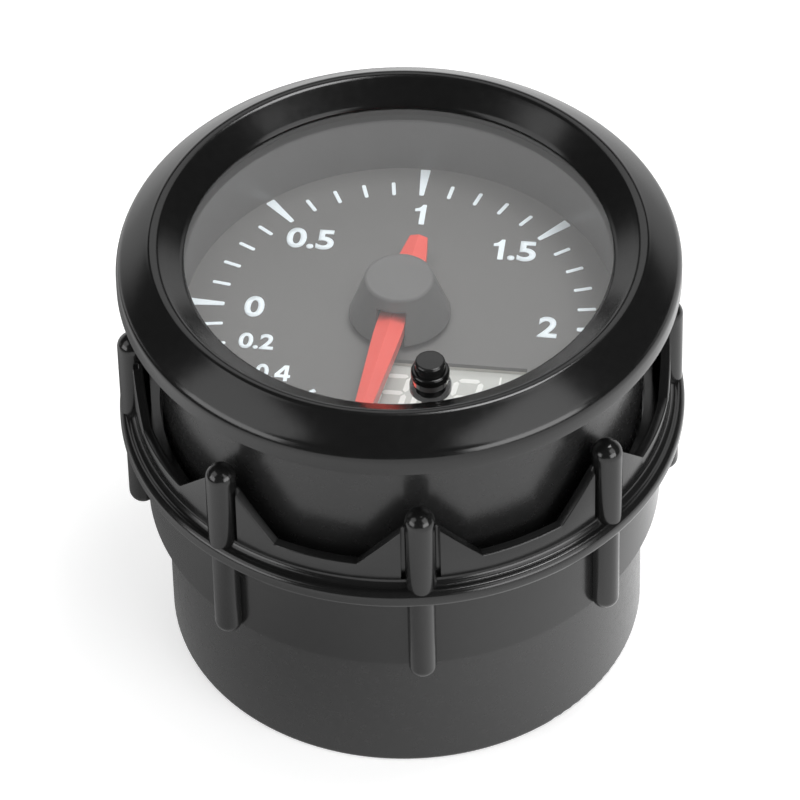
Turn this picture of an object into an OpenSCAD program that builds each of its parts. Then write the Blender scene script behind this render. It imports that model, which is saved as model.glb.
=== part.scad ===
// Round panel gauge: a pointer moved by a geared stepper motor over a dial,
// a small display below it, and a ribbed ring that clamps the gauge in a panel.
// The origin is the centre of the rear face, +Z runs to the dial and -Y is six o'clock.

/* [Housing] */
// Outside diameter of the housing
housing_d = 52; // [51:0.2:53]
// Height from the rear face to the crest line of the bezel
overall_h = 54.05; // [50:0.05:70]
// Thickness of the housing side wall
housing_wall = 1.5; // [1.3:0.1:1.6]
// Thickness of the rear wall
rear_wall = 2; // [1.5:0.1:3]
// Rounding at the rear edge of the housing
rear_edge_r = 0.6; // [0.3:0.1:1.2]

/* [Bezel] */
// How far the bezel reaches past the side of the housing
bezel_reach = 4.1; // [3.4:0.1:5.5]
// How far the bezel laps over the rim of the housing
bezel_lap = 0.9; // [0.8:0.05:1.2]
// Height of the straight band at the bottom of the bezel
bezel_band_h = 1.6; // [1:0.1:2]
// Rounding between the band and the sloping front
bezel_shoulder_r = 1.8; // [1.2:0.1:2.2]
// Distance from the edge of the bezel to its crest line
crest_inset = 4.1; // [3.2:0.1:4.6]
// Rounding of the crest
crest_round_r = 1.1; // [0.4:0.05:1.3]
// Width of the cone between the crest line and the viewing opening
cone_w = 3.2; // [2.8:0.1:4]
// Depth from the crest line to the edge of the opening
opening_drop = 2.25; // [1.6:0.05:2.4]
// Height of the lip that holds the lens
lip_h = 0.2; // [0.1:0.05:0.4]

/* [Lens] */
// Thickness of the lens
lens_t = 1.5; // [1:0.1:1.8]
// Thickness of the gasket under the lens
gasket_t = 0.6; // [0.4:0.1:0.8]

/* [Dial] */
// Depth from the lens top to the dial face
dial_depth = 10.1; // [9.4:0.1:11]
// Thickness of the dial plate
dial_t = 0.5; // [0.3:0.1:0.8]
// Thickness of the wall round the dial
surround_wall = 0.95; // [0.8:0.05:1.3]
// Gap between the scale and the wall round the dial
mark_margin = 0.25; // [0.1:0.05:0.6]
// Length of a minor mark
minor_mark_l = 2; // [1:0.1:2.5]
// Length of a major mark
major_mark_l = 4.1; // [2.5:0.1:4.4]
// Width of a minor mark
minor_mark_w = 0.42; // [0.2:0.02:0.6]
// Width of the outer end of a major mark
major_mark_w = 1.1; // [0.6:0.05:1.4]
// Angle between two marks
mark_step_a = 9; // [9:0.1:9.6]
// Number of marks above zero
marks_above = 20; // [10:1:20]
// Number of marks below zero
marks_below = 10; // [0:1:10]

/* [Needle] */
// Angle of the needle at rest, counted from three o'clock
needle_a = -96; // [-100:1:-92]
// Gap between the needle's sweep and the scale
tip_gap = 0.4; // [0.2:0.1:3]
// Reach of the tail from the axis
tail_l = 9.2; // [7:0.1:11]
// Width of the needle where it leaves the hub
needle_root_w = 3; // [2.4:0.1:3.4]
// Width of the needle at its tip
needle_tip_w = 1.7; // [0.8:0.1:2.2]
// Width of the tail at its end
tail_w = 1.95; // [1.2:0.05:2.3]
// Height of the needle at its edges
needle_h = 1.3; // [0.8:0.1:1.5]
// Height of the ridge above the edges
ridge_h = 0.5; // [0.2:0.05:0.6]
// Diameter of the hub at its base
hub_d = 10.9; // [9.8:0.1:12]
// Diameter of the hub at the edge of its top
hub_top_d = 7.6; // [7:0.1:8.5]
// Height of the hub
hub_h = 5.1; // [4.8:0.1:5.6]

/* [Display] */
// Right edge of the display window
window_x2 = 14.4; // [14:0.1:14.6]
// Width of the display window
window_w = 16.4; // [14:0.1:18]
// Top edge of the display window
window_y = -6.5; // [-6.8:0.1:-6.3]
// Height of the display window
window_h = 8.2; // [7:0.1:8.3]
// Thickness of each glass plate of the display
glass_t = 1.05; // [0.7:0.05:1.1]

/* [Button] */
// Angle of the button, counted from three o'clock
button_a = -72.8; // [-73:0.1:-70]
// Distance from the edge of the viewing opening to the button's axis
button_inset = 4.17; // [3:0.01:4.2]
// Diameter of the button
button_d = 3.2; // [2.6:0.1:3.3]
// Height of the button above the lens
button_h = 2.1; // [1.7:0.1:2.4]
// Diameter of the collar on the lens
collar_d = 4.06; // [3.94:0.02:4.3]
// Height of the collar on the lens
collar_h = 0.85; // [0.5:0.05:1]
// Travel of the button
button_travel = 0.5; // [0.2:0.1:0.6]

/* [Clamp ring] */
// Gap between the ribs and the bezel, which holds the panel
panel_gap = 6.7; // [1:0.1:14]
// Wall of the sleeve
sleeve_wall = 1.75; // [1.4:0.05:2.2]
// Height of the sleeve below the flange
sleeve_h = 11.2; // [6:0.1:12]
// How far the flange stands out from the sleeve
flange_reach = 2.6; // [2.2:0.1:3.5]
// Thickness of the flange
flange_t = 2.2; // [1.6:0.1:3]
// How far the crown wall stands out from the sleeve
crown_step = 1; // [0.9:0.1:1.3]
// Thickness of the crown wall
crown_wall = 1.1; // [0.9:0.1:1.3]
// Height of the crown wall between the gussets
crown_h = 2.9; // [2:0.1:4]
// Height of a gusset above the flange
gusset_h = 8.1; // [5:0.1:9]
// Angle that each gusset spans to one side of its rib
gusset_a = 13.3; // [10:0.1:15]
// Number of ribs
rib_count = 8; // [6:1:9]
// Angle of the first rib
rib_a = 11; // [0:1:40]
// Diameter of a rib
rib_d = 3.3; // [2.8:0.1:3.6]
// Height of a rib
rib_h = 24.9; // [23.7:0.1:26]

/* [Motor] */
// Width of the motor
motor_w = 28.4; // [28:0.1:28.8]
// Height of the motor
motor_h = 9.5; // [9.3:0.1:10.5]
// Reach of the motor above its output shaft
motor_up = 18.2; // [18:0.1:18.3]
// Reach of the motor below its output shaft
motor_down = 10.8; // [10.5:0.1:11]
// Module of the gear teeth
gear_module = 0.2; // [0.195:0.001:0.202]
// Teeth of the output wheel
output_teeth = 90; // [84:1:90]
// Teeth of the idler wheel
idler_teeth = 72; // [66:1:74]
// Teeth of each pinion
pinion_teeth = 6; // [6:1:8]
// Thickness of each wheel
wheel_t = 0.8; // [0.6:0.1:1]
// Diameter of the output shaft
shaft_d = 1.2; // [1:0.1:1.4]

/* [Boards] */
// Thickness of both circuit boards
board_t = 1.6; // [1.2:0.1:1.8]
// Gap between the edge of the main board and the pieces stacked on it
board_inset = 0.3; // [0.1:0.1:1]
// Width of the connector board
link_board_w = 31; // [28:0.5:31.5]
// Depth of the connector board
link_board_d = 16; // [15.8:0.1:16.4]

/* [Sockets] */
// Pitch of the socket pins
pin_pitch = 2.5; // [2.5:0.02:2.54]
// Pins in the power socket
power_ways = 4; // [3:1:4]
// Pins in the sensor socket
sensor_ways = 3; // [2:1:3]
// Height of a socket from its mouth to the connector board
socket_h = 8; // [7.6:0.1:10]
// Wall of a socket
socket_wall = 0.9; // [0.6:0.05:1]
// Depth of the cavity of a socket in front of its pins
socket_depth = 4.6; // [4.4:0.1:5]

/* [Hidden] */

$fn = 96;
// How far a cut runs past the face that it opens
over = 0.5;
// Gap between pieces that are fitted and stay put
fit = 0.1;
// Gap round a shaft that turns in a bearing
run = 0.05;
// Gap round pieces that pass through an opening
pass = 0.2;
// Gap between two moving pieces that must not touch
free = 0.3;

// Levels, from the front of the gauge down
opening_z = overall_h - opening_drop;
lens_z = opening_z - lip_h;
lens_base_z = lens_z - lens_t;
gasket_z = lens_base_z - gasket_t;
bezel_z = gasket_z - bezel_lap;
dial_z = lens_z - dial_depth;
dial_base_z = dial_z - dial_t;
guide_t = 1.2;
guide_base_z = dial_base_z - guide_t;
board_gap = 4;
board_top_z = guide_base_z - board_gap;
board_z = board_top_z - board_t;
motor_top_z = board_z - pass;
motor_z = motor_top_z - motor_h;

// Housing
housing_r = housing_d / 2;
bore_r = housing_r - housing_wall;
snap_gap = 0.2;
snap_h = 0.35;
snap_depth = 0.25;
post_r = 2.4;
post_inset = 3.2;
post_reach = bore_r - post_inset;
post_angles = [90, 210, 330];
post_web_t = 1.4;
screw_hole_r = 0.8;
screw_hole_l = 8;
link_post_x = 0.6;
link_post_ys = [-2.6, -13.4];
link_post_r = 2.1;

// Bezel
bezel_r = housing_r + bezel_reach;
crest_r = bezel_r - crest_inset;
opening_r = crest_r - cone_w;
bezel_bore_r = housing_r + fit;
band_top_z = bezel_z + bezel_band_h;
// Slope of the front where it leaves the rounded shoulder
shoulder_a = 50;
crest_p = [crest_r, overall_h];
shoulder_p = [bezel_r - bezel_shoulder_r, band_top_z];
shoulder_dir = [cos(shoulder_a), sin(shoulder_a)];
shoulder_end = shoulder_p + bezel_shoulder_r * shoulder_dir;
// The front is one arc, tangent to the shoulder, that passes through the crest line
front_chord = crest_p - shoulder_end;
front_r = -(front_chord * front_chord) / (2 * front_chord * shoulder_dir);
front_p = shoulder_end - front_r * shoulder_dir;
// Directions of the two slopes at the crest, and the centre of its rounding
inner_slope = unit([opening_r, opening_z] - crest_p);
outer_slope = unit([crest_p.y - front_p.y, front_p.x - crest_p.x]);
crest_bisector = unit(inner_slope + outer_slope);
crest_half_a = acos(crest_bisector * inner_slope);
crest_round_p = crest_p + crest_round_r / sin(crest_half_a) * crest_bisector;
crest_cut = crest_round_r / tan(crest_half_a);

// Dial stack
stack_r = bore_r - pass;
surround_r = stack_r - surround_wall;
mark_r = surround_r - mark_margin - major_mark_l;
gasket_inner_r = surround_r + run;
gasket_r = bezel_bore_r - fit;
shaft_r = shaft_d / 2;
shaft_hole_r = shaft_r + free;
button_hole_r = 1.4;
mark_t = 0.05;
mark_inner_share = 0.45;
guide_skirt_t = 0.9;
marks_per_major = 5;

// Needle
hub_gap = 0.8;
hub_z = dial_z + hub_gap;
hub_top_z = hub_z + hub_h;
hub_r = hub_d / 2;
hub_top_r = hub_top_d / 2;
hub_edge_r = 0.4;
hub_wall = 0.9;
hub_roof = 1.1;
needle_lift = 1;
needle_z = hub_z + needle_lift;
needle_edge_z = needle_z + needle_h;
ridge_z = needle_edge_z + ridge_h;
ridge_half_w = needle_root_w / 2;
slot_rise = 0.9;
slot_w = needle_root_w + 2 * fit;
boss_r = 1.7;
shaft_seat = 0.6;
shoulder_gap = 0.75;
shoulder_l = hub_r + shoulder_gap;
needle_l = mark_r - tip_gap;

// Display
window_x = window_x2 - window_w;
window_y2 = window_y - window_h;
glass_rim = 0.6;
frame_wall = 0.6;
frame_lip_t = 0.4;
glass_top_z = dial_base_z - frame_lip_t;
glass_mid_z = glass_top_z - glass_t;
glass_base_z = glass_mid_z - glass_t;
frame_grow = glass_rim + fit + frame_wall;
strip_w = 1.1;
strip_ledge = 1.4;
backlight_gap = 0.2;

// Button and switch
button_reach = opening_r - button_inset;
button_p = button_reach * [cos(button_a), sin(button_a)];
button_r = button_d / 2;
collar_r = collar_d / 2;
lens_hole_r = 1.9;
guide_tube_r = lens_hole_r - run;
guide_tail = 0.4;
button_top_z = lens_z + button_h;
button_edge_r = 0.3;
button_flange_r = 2.2;
button_flange_t = 0.7;
stem_r = 1;
switch_w = 3.4;
switch_h = 2;
switch_floor = 0.5;
actuator_r = 0.85;
actuator_up = 0.8;
switch_top_z = board_top_z + switch_h;
actuator_top_z = switch_top_z + actuator_up;
actuator_base_z = board_top_z + switch_floor + button_travel + pass;
guide_base_tube_z = lens_base_z - guide_tail;
button_flange_z = guide_base_tube_z - fit - button_flange_t;

// Clamp ring
sleeve_gap = 0.25;
sleeve_bore_r = housing_r + sleeve_gap;
sleeve_r = sleeve_bore_r + sleeve_wall;
flange_r = sleeve_r + flange_reach;
crown_r = sleeve_r + crown_step;
rib_r = rib_d / 2;
rib_inset = 0.15;
rib_step = 0.15;
rib_flat = 0.02;
rib_reach = flange_r - rib_inset - rib_r;
rib_drop = 0.7;
rib_z = bezel_z - panel_gap - rib_h;
ring_z = rib_z + rib_drop;
flange_z = ring_z + sleeve_h;
crown_z = flange_z + flange_t;
flange_edge_r = 0.8;
fillet_r = 0.8;
groove_w = 0.45;
groove_depth = 0.6;
rib_step_a = 360 / rib_count;
valley_half_w = crown_r * sin(rib_step_a / 2 - gusset_a);
peak_half_w = crown_r * sin(rib_step_a / 2) - rib_r;

// Motor
motor_wall = 1;
motor_corner = 5;
base_t = 1.2;
roof_t = 1;
floor_z = motor_z + base_t;
roof_z = motor_top_z - roof_t;
output_reach = gear_module * (output_teeth + pinion_teeth) / 2;
idler_reach = gear_module * (idler_teeth + pinion_teeth) / 2;
idler_dir = 124.2;
rotor_dir = 35;
idler_p = output_reach * [cos(idler_dir), sin(idler_dir)];
rotor_p = idler_p + idler_reach * [cos(rotor_dir), sin(rotor_dir)];
wheel_gap = 0.5;
output_z = roof_z - wheel_gap - wheel_t;
idler_gap = 1.4;
idler_z = output_z - idler_gap - wheel_t;
idler_pinion_top_z = output_z + wheel_t;
rotor_pinion_top_z = idler_z + wheel_t + run;
bearing_h = 0.5;
axle_r = 0.3;
magnet_r = 3;
magnet_h = 2.6;
magnet_z = floor_z + bearing_h + fit;
stator_t = 1;
stator_lift = 1.2;
stator_z = floor_z + stator_lift;
stator_bore_r = magnet_r + free;
stator_ring_r = stator_bore_r + motor_wall;
arm_w = 1.6;
arm_angles = [-60, -120];
arm_l = 11.6;
yoke_p = [-7, 1.9];
yoke_l = 16;
yoke_w = 1.5;
coil_r = 1.5;
coil_from = 4.7;
coil_l = 4;
pad_r = 0.7;
pad_points = [[-6.2, 2.65], [8.2, 2.65]];
terminal_r = 0.3;
terminal_up = 0.6;
terminal_x = 10.6;
terminal_ys = [-3.6, 11];
// Tooth form: heights in modules, widths in shares of a tooth pitch
tooth_up_share = 0.8;
tooth_down_share = 1.15;
tooth_tip_share = 0.26;
tooth_root_share = 0.54;

// Boards, screws, cable and chips
board_r = stack_r - board_inset;
socket_inset = 0.4;
link_board_z = socket_inset + socket_h;
link_top_z = link_board_z + board_t;
screw_r = 0.75;
head_r = 1.7;
head_h = 1.1;
screw_l = 6;
header_size = [9, 2.4, 2.6];
header_p = [-8.5, -14.2];
ribbon_w = 8;
ribbon_t = 0.7;
ribbon_bow = 1.8;
controller_size = [7, 7, 1];
controller_p = [-11, -9];
driver_size = [5, 6, 1.4];
driver_p = [-14, 2.4];
crystal_size = [5, 3.2, 1.3];
crystal_p = [-8, 6];
led_size = [1.6, 1.6, 1];
led_reach = 18.5;
led_count = 8;
led_from_a = -10;
led_step_a = 30;
regulator_size = [6.5, 3.5, 1.8];
regulator_p = [-9, -4];
capacitor_r = 3.15;
capacitor_h = 5.2;
capacitor_p = [9.6, -3.6];

// Sockets
power_p = [-8.6, -8];
sensor_p = [8.6, -8];
socket_inner_d = 5.6;
socket_side = 0.3;
socket_back = 1;
key_w = 1.6;
pin_w = 0.64;
pin_tail = 0.8;

function unit(v) = v / norm(v);
function socket_inner_w(ways) = ways * pin_pitch + 2 * socket_side;
function socket_outer(ways) = [
    socket_inner_w(ways) + 2 * socket_wall,
    socket_inner_d + 2 * socket_wall
];

// Outline of the motor, set in by an even wall
function motor_outline(inset) = let (
    x = motor_w / 2 - inset,
    top = motor_up - inset,
    low = inset - motor_down,
    c = motor_corner - inset / 2
) [
    [x, low + c / 2], [x, top - c], [x - c, top], [c - x, top],
    [-x, top - c], [-x, low + c / 2], [c / 2 - x, low], [x - c / 2, low]
];

// Outline of a gear with straight-sided teeth, one of them centred on +X
function gear_outline(teeth) = let (
    pitch_r = gear_module * teeth / 2,
    root_r = pitch_r - tooth_down_share * gear_module,
    tip_r = pitch_r + tooth_up_share * gear_module,
    tooth_a = 360 / teeth
) [
    for (i = [0 : teeth - 1])
        for (c = [
            [root_r, -tooth_root_share], [tip_r, -tooth_tip_share],
            [tip_r, tooth_tip_share], [root_r, tooth_root_share]
        ])
            c.x * [cos(tooth_a * (i + c.y / 2)), sin(tooth_a * (i + c.y / 2))]
];

module tube(r_out, r_in, z, h) {
    translate([0, 0, z]) difference() {
        cylinder(r = r_out, h = h);
        translate([0, 0, -over]) cylinder(r = r_in, h = h + 2 * over);
    }
}

module gear(teeth, z, h, turn) {
    translate([0, 0, z]) rotate(turn) linear_extrude(height = h) polygon(gear_outline(teeth));
}

// A block on a board: its middle in plan, its underside and its size
module block(place, z, size) {
    translate([place.x - size.x / 2, place.y - size.y / 2, z]) cube(size);
}

module hole(place, z, h, r) {
    translate([place.x, place.y, z]) cylinder(r = r, h = h);
}

module at_posts() {
    for (a = post_angles) rotate(a) translate([post_reach, 0, 0]) children();
}

module at_link_posts() {
    for (y = link_post_ys) translate([link_post_x, y, 0]) children();
}

module at_terminals() {
    for (x = [-terminal_x, terminal_x]) for (y = terminal_ys) translate([x, y, 0]) children();
}

// The display window, grown on every side
module window_block(z, h, grow) {
    translate([window_x - grow, window_y2 - grow, z])
        cube([window_w + 2 * grow, window_h + 2 * grow, h]);
}

// Rear case: a deep cup with posts for both boards and openings for the sockets
module housing() {
    color([0.07, 0.07, 0.075]) difference() {
        union() {
            difference() {
                rotate_extrude() union() {
                    translate([0, rear_edge_r]) square([housing_r, gasket_z - rear_edge_r]);
                    square([housing_r - rear_edge_r, rear_edge_r]);
                    translate([housing_r - rear_edge_r, rear_edge_r]) intersection() {
                        circle(r = rear_edge_r);
                        translate([0, -rear_edge_r]) square(rear_edge_r);
                    }
                }
                translate([0, 0, rear_wall]) cylinder(r = bore_r, h = gasket_z);
            }
            at_posts() {
                cylinder(r = post_r, h = board_z);
                translate([0, -post_web_t / 2, 0])
                    cube([bore_r - post_reach + housing_wall / 2, post_web_t, board_z]);
            }
            at_link_posts() cylinder(r = link_post_r, h = link_board_z);
        }
        tube(housing_r + over, housing_r - snap_depth, bezel_z + snap_gap, snap_h);
        at_posts() translate([0, 0, board_z - screw_hole_l])
            cylinder(r = screw_hole_r, h = screw_hole_l + over);
        at_link_posts() translate([0, 0, link_board_z - screw_l])
            cylinder(r = screw_hole_r, h = screw_l + over);
        socket_opening(power_p, power_ways);
        socket_opening(sensor_p, sensor_ways);
    }
}

module socket_opening(place, ways) {
    size = socket_outer(ways) + [2 * fit, 2 * fit];
    block(place, -over, [size.x, size.y, rear_wall + 2 * over]);
}

// Front ring: straight band, rounded shoulder, curved front, rounded crest and inner cone
module bezel() {
    far = bezel_r - crest_p.x;
    color([0.05, 0.05, 0.055]) {
        rotate_extrude() union() {
            translate([bezel_bore_r, bezel_z])
                square([bezel_r - bezel_bore_r, band_top_z - bezel_z]);
            intersection() {
                translate(shoulder_p) circle(r = bezel_shoulder_r);
                translate(shoulder_p) square(bezel_shoulder_r);
            }
            intersection() {
                translate(front_p) circle(r = front_r);
                polygon([
                    [bezel_bore_r, band_top_z], [bezel_bore_r, lens_z], [opening_r, lens_z],
                    [opening_r, opening_z], crest_p + crest_cut * inner_slope, crest_round_p,
                    crest_p + crest_cut * outer_slope, crest_p + [far, 0],
                    shoulder_p + far * shoulder_dir, shoulder_p
                ]);
            }
            translate(crest_round_p) circle(r = crest_round_r);
        }
        tube(bezel_bore_r + fit, housing_r - snap_depth + fit, bezel_z + snap_gap + run,
            snap_h - 2 * run);
    }
}

module lens() {
    color([0.8, 0.85, 0.88, 0.3]) difference() {
        translate([0, 0, lens_base_z]) cylinder(r = gasket_r, h = lens_t);
        hole(button_p, lens_base_z - over, lens_t + 2 * over, lens_hole_r);
    }
}

module lens_gasket() {
    color([0.03, 0.03, 0.03]) tube(gasket_r, gasket_inner_r, gasket_z, gasket_t);
}

module dial_surround() {
    color([0.16, 0.16, 0.16]) tube(stack_r, surround_r, dial_z, gasket_z - dial_z);
}

module dial_plate() {
    color([0.14, 0.14, 0.14]) difference() {
        translate([0, 0, dial_base_z]) cylinder(r = stack_r, h = dial_t);
        window_block(dial_base_z - over, dial_t + 2 * over, 0);
        hole([0, 0], dial_base_z - over, dial_t + 2 * over, shaft_hole_r);
        hole(button_p, dial_base_z - over, dial_t + 2 * over, button_hole_r);
    }
}

// Printed scale: one mark each tenth, a longer tapered one each half
module scale_marks() {
    color([0.95, 0.95, 0.95]) translate([0, 0, dial_z]) linear_extrude(height = mark_t)
        for (i = [-marks_below : marks_above]) rotate(180 - i * mark_step_a)
            scale_mark(i % marks_per_major == 0);
}

module scale_mark(major) {
    l = major ? major_mark_l : minor_mark_l;
    outer = (major ? major_mark_w : minor_mark_w) / 2;
    inner = major ? outer * mark_inner_share : outer;
    polygon([[mark_r, -inner], [mark_r + l, -outer], [mark_r + l, outer], [mark_r, inner]]);
}

// White moulding that carries the dial and spreads the light of the lamps under it
module light_guide() {
    color([0.9, 0.9, 0.88]) {
        difference() {
            union() {
                translate([0, 0, guide_base_z]) cylinder(r = stack_r, h = guide_t);
                tube(stack_r, stack_r - guide_skirt_t, board_top_z, board_gap + fit);
            }
            window_block(guide_base_z - over, guide_t + 2 * over, frame_grow + fit);
            hole([0, 0], guide_base_z - over, guide_t + 2 * over, shaft_hole_r);
            hole(button_p, guide_base_z - over, guide_t + 2 * over, button_hole_r);
        }
    }
}

// Pointer: a tapered blade with a roof-shaped top, and a bush on the output shaft
module needle() {
    color([0.95, 0.25, 0.2]) rotate(needle_a) difference() {
        union() {
            intersection() {
                translate([0, 0, needle_z]) linear_extrude(height = needle_h + ridge_h)
                    polygon([
                        [-tail_l, -tail_w / 2], [-shoulder_l, -needle_root_w / 2],
                        [shoulder_l, -needle_root_w / 2], [needle_l, -needle_tip_w / 2],
                        [needle_l, needle_tip_w / 2], [shoulder_l, needle_root_w / 2],
                        [-shoulder_l, needle_root_w / 2], [-tail_l, tail_w / 2]
                    ]);
                translate([-tail_l, 0, 0]) rotate([90, 0, 90])
                    linear_extrude(height = tail_l + needle_l) polygon([
                        [-slot_w, needle_z], [slot_w, needle_z], [slot_w, needle_edge_z],
                        [ridge_half_w, needle_edge_z], [0, ridge_z],
                        [-ridge_half_w, needle_edge_z], [-slot_w, needle_edge_z]
                    ]);
            }
            hole([0, 0], hub_z, needle_edge_z - hub_z, boss_r);
        }
        hole([0, 0], hub_z - over, needle_edge_z - shaft_seat - hub_z + over, shaft_r + run);
    }
}

// Cone over the root of the pointer, slotted for the blade and the tail
module needle_hub() {
    ceiling_z = hub_top_z - hub_roof;
    slot_z = ridge_z + slot_rise;
    color([0.12, 0.12, 0.12]) rotate(needle_a) difference() {
        rotate_extrude() union() {
            difference() {
                union() {
                    polygon([
                        [0, hub_z], [hub_r, hub_z], [hub_top_r, hub_top_z - hub_edge_r],
                        [0, hub_top_z - hub_edge_r]
                    ]);
                    square_ring(hub_top_z - hub_edge_r, hub_top_r - hub_edge_r, hub_edge_r);
                    translate([hub_top_r - hub_edge_r, hub_top_z - hub_edge_r])
                        circle(r = hub_edge_r);
                }
                polygon([
                    [-over, hub_z - over], [hub_r - hub_wall, hub_z - over],
                    [hub_r - hub_wall, hub_z], [hub_top_r - hub_wall, ceiling_z],
                    [-over, ceiling_z]
                ]);
            }
            square_ring(ridge_z + run, boss_r, ceiling_z - ridge_z);
        }
        for (side = [0, 180]) rotate(side) translate([boss_r + free, -slot_w / 2, hub_z - over])
            cube([hub_r, slot_w, slot_z - hub_z + over]);
    }
}

module square_ring(z, r, h) {
    translate([0, z]) square([r, h]);
}

// Large wheel of the gear train with the shaft that carries the pointer
module output_wheel() {
    color([0.85, 0.82, 0.7]) {
        gear(output_teeth, output_z, wheel_t, idler_dir);
        hole([0, 0], floor_z - bearing_h, needle_edge_z - shaft_seat - run - floor_z + bearing_h,
            shaft_r);
    }
}

// Holder round the display, with a lip between its glass and the dial
module lcd_frame() {
    color([0.6, 0.61, 0.62]) difference() {
        window_block(board_top_z, dial_base_z - board_top_z, frame_grow);
        window_block(board_top_z - over, glass_top_z - board_top_z + over, glass_rim + fit);
        window_block(board_top_z, dial_base_z - board_top_z + over, 0);
    }
}

module lcd_front_glass() {
    color([0.72, 0.74, 0.73]) window_block(glass_mid_z, glass_t, glass_rim);
}

// Rear plate, narrower, so that the contact strips reach the front plate beside it
module lcd_rear_glass() {
    color([0.7, 0.75, 0.74, 0.5]) translate([
        window_x - glass_rim, window_y2 - glass_rim + strip_ledge, glass_base_z
    ]) cube([
        window_w + 2 * glass_rim, window_h + 2 * glass_rim - 2 * strip_ledge, glass_t
    ]);
}

module lcd_backlight() {
    color([0.95, 0.95, 0.92]) translate([
        window_x - glass_rim, window_y2 - glass_rim + strip_ledge, board_top_z + backlight_gap
    ]) cube([
        window_w + 2 * glass_rim, window_h + 2 * glass_rim - 2 * strip_ledge,
        glass_base_z - board_top_z - backlight_gap
    ]);
}

module lcd_contact_strips() {
    color([0.85, 0.4, 0.5]) for (y = [
        window_y2 - glass_rim, window_y + glass_rim - strip_w
    ]) translate([window_x - glass_rim, y, board_top_z])
        cube([window_w + 2 * glass_rim, strip_w, glass_mid_z - board_top_z]);
}

// Push button: cap, stop flange under the lens, and a stem down to the switch
module mode_button() {
    color([0.05, 0.05, 0.05]) translate([button_p.x, button_p.y, 0]) rotate_extrude() union() {
        square_ring(actuator_top_z, stem_r, button_flange_z - actuator_top_z + over);
        square_ring(button_flange_z, button_flange_r, button_flange_t);
        square_ring(button_flange_z, button_r, button_top_z - button_flange_z - button_edge_r);
        square_ring(button_top_z - button_edge_r - over, button_r - button_edge_r,
            button_edge_r + over);
        translate([button_r - button_edge_r, button_top_z - button_edge_r])
            circle(r = button_edge_r);
    }
}

// Bush in the lens hole, with a rounded collar on top
module button_guide() {
    collar_edge_r = collar_r - guide_tube_r + fit;
    color([0.04, 0.04, 0.04]) translate([button_p.x, button_p.y, 0]) difference() {
        rotate_extrude() union() {
            square_ring(guide_base_tube_z, guide_tube_r, lens_z - guide_base_tube_z + over);
            square_ring(lens_z, collar_r, collar_h - collar_edge_r);
            square_ring(lens_z, collar_r - collar_edge_r, collar_h);
            translate([collar_r - collar_edge_r, lens_z + collar_h - collar_edge_r])
                circle(r = collar_edge_r);
        }
        hole([0, 0], guide_base_tube_z - over, lens_t + guide_tail + collar_h + 2 * over,
            button_r + run);
    }
}

module switch_body() {
    color([0.2, 0.2, 0.2]) difference() {
        block(button_p, board_top_z, [switch_w, switch_w, switch_h]);
        hole(button_p, board_top_z + switch_floor, switch_h, actuator_r + fit);
    }
}

module switch_actuator() {
    color([0.8, 0.2, 0.15])
        hole(button_p, actuator_base_z, actuator_top_z - actuator_base_z, actuator_r);
}

// Mounting ring: a sleeve on the housing, a flange, a crown wall cut down between
// sloping gussets, and round-ended ribs that press on the back of the panel
module clamp_ring() {
    color([0.06, 0.06, 0.065]) difference() {
        union() {
            difference() {
                rotate_extrude() ring_section();
                for (i = [0 : rib_count - 1]) rotate(rib_a + (i + 0.5) * rib_step_a) valley();
            }
            for (i = [0 : rib_count - 1]) rotate(rib_a + i * rib_step_a) rib();
        }
        for (i = [0 : rib_count - 1]) rotate(rib_a + i * rib_step_a) rib_grooves();
    }
}

// Half section of the ring, with its crown wall at the height of the gussets
module ring_section() {
    difference() {
        union() {
            translate([sleeve_bore_r, ring_z]) square([sleeve_r - sleeve_bore_r, sleeve_h + over]);
            translate([sleeve_bore_r, flange_z])
                square([flange_r - flange_edge_r - sleeve_bore_r, flange_t]);
            translate([sleeve_bore_r, flange_z + flange_edge_r])
                square([flange_r - sleeve_bore_r, flange_t - 2 * flange_edge_r]);
            for (z = [flange_z + flange_edge_r, crown_z - flange_edge_r])
                translate([flange_r - flange_edge_r, z]) circle(r = flange_edge_r);
            translate([crown_r - crown_wall, crown_z - over])
                square([crown_wall + fillet_r, fillet_r + over]);
            translate([crown_r - crown_wall, crown_z]) square([crown_wall, gusset_h]);
        }
        translate([crown_r + fillet_r, crown_z + fillet_r]) circle(r = fillet_r);
    }
}

// What is cut from the crown wall between two ribs
module valley() {
    rise = gusset_h - crown_h;
    translate([0, 0, crown_z + crown_h]) rotate([90, 0, 90])
        linear_extrude(height = flange_r) polygon([
            [-valley_half_w, 0], [valley_half_w, 0],
            [peak_half_w, rise], [peak_half_w, rise + over],
            [-peak_half_w, rise + over], [-peak_half_w, rise]
        ]);
}

// Rib: a round-headed post on the flange and a slimmer one below it, each with a
// small flat at its end
module rib() {
    joint_z = crown_z - flange_t / 2;
    translate([rib_reach, 0, joint_z]) rib_half(rib_r, rib_z + rib_h - joint_z);
    translate([rib_reach - rib_step, 0, joint_z]) mirror([0, 0, 1])
        rib_half(rib_r - rib_step, joint_z - rib_z);
}

module rib_half(r, h) {
    rotate_extrude() intersection() {
        square([r, h]);
        union() {
            square([r, h + rib_flat - r]);
            translate([0, h + rib_flat - r]) circle(r = r);
        }
    }
}

// Narrow grooves that part a rib from its two gussets
module rib_grooves() {
    for (side = [-1, 1]) translate([
        crown_r - groove_depth, side * (rib_r + groove_w / 2) - groove_w / 2,
        crown_z + fillet_r + run
    ]) cube([groove_depth + fillet_r, groove_w, gusset_h]);
}

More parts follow.
